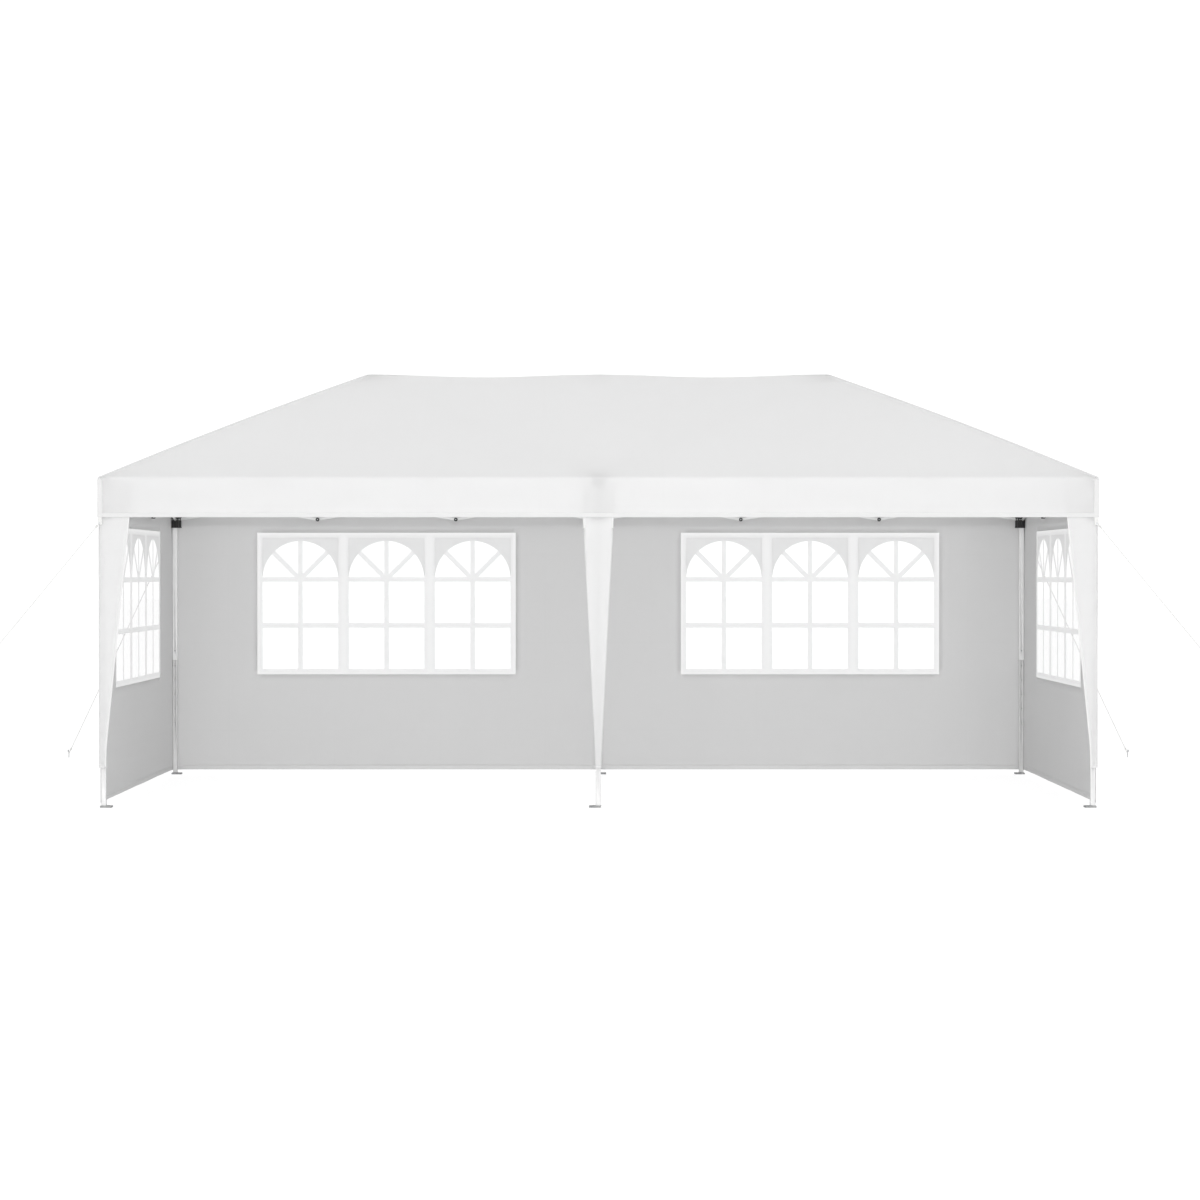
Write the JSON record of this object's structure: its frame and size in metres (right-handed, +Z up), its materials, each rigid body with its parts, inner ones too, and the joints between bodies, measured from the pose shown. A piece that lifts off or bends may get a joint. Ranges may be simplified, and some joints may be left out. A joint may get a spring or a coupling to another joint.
{
  "type": "marquee tent",
  "caption": "White fold-out party marquee with a hip roof, straight valance, open front, walls with clear arched windows, tapering leg covers, slim legs and guy ropes.",
  "frame": {"origin": "on the floor under the middle of the roof, at the centre of the model's footprint", "axes": "+X to the right along the open front, +Y towards the back wall, +Z up"},
  "size_m": [8.124, 6.6368, 2.7],
  "materials": {
    "canopy_cloth": "matte woven polyethylene",
    "wall_cloth": "matte woven polyethylene, lets light through",
    "clear_film": "clear film",
    "white_paint": "satin powder coat on steel tube",
    "black_plastic": "moulded",
    "rope_fibre": "braided cord and webbing",
    "peg_steel": "zinc-plated wire"
  },
  "bodies": {
    "root": {"roof_front": "canopy_cloth", "roof_back": "canopy_cloth", "roof_left_end": "canopy_cloth", "roof_right_end": "canopy_cloth", "valance_front": "canopy_cloth", "valance_back": "canopy_cloth", "valance_left_end": "canopy_cloth", "valance_right_end": "canopy_cloth", "leg_cover_left": "canopy_cloth", "leg_cover_middle": "canopy_cloth", "leg_cover_right": "canopy_cloth", "back_wall_left": "wall_cloth", "back_wall_right": "wall_cloth", "left_end_wall": "wall_cloth", "right_end_wall": "wall_cloth", "back_window_left": "clear_film", "back_window_right": "clear_film", "left_end_window": "clear_film", "right_end_window": "clear_film", "leg_front_left": "white_paint", "lower_leg_front_left": "white_paint", "slider_front_left": "black_plastic", "leg_front_middle": "white_paint", "lower_leg_front_middle": "white_paint", "slider_front_middle": "black_plastic", "leg_front_right": "white_paint", "lower_leg_front_right": "white_paint", "slider_front_right": "black_plastic", "leg_back_left": "white_paint", "lower_leg_back_left": "white_paint", "slider_back_left": "black_plastic", "leg_back_middle": "white_paint", "lower_leg_back_middle": "white_paint", "slider_back_middle": "black_plastic", "leg_back_right": "white_paint", "lower_leg_back_right": "white_paint", "slider_back_right": "black_plastic", "truss_front_left": "white_paint", "truss_front_right": "white_paint", "truss_back_left": "white_paint", "truss_back_right": "white_paint", "truss_left_end": "white_paint", "truss_right_end": "white_paint", "truss_middle": "white_paint", "rafters_left": "white_paint", "rafters_right": "white_paint", "guy_rope_front_left": "rope_fibre", "peg_front_left": "peg_steel", "guy_rope_front_right": "rope_fibre", "peg_front_right": "peg_steel", "guy_rope_back_left": "rope_fibre", "peg_back_left": "peg_steel", "guy_rope_back_right": "rope_fibre", "peg_back_right": "peg_steel"}
  },
  "joints": []
}
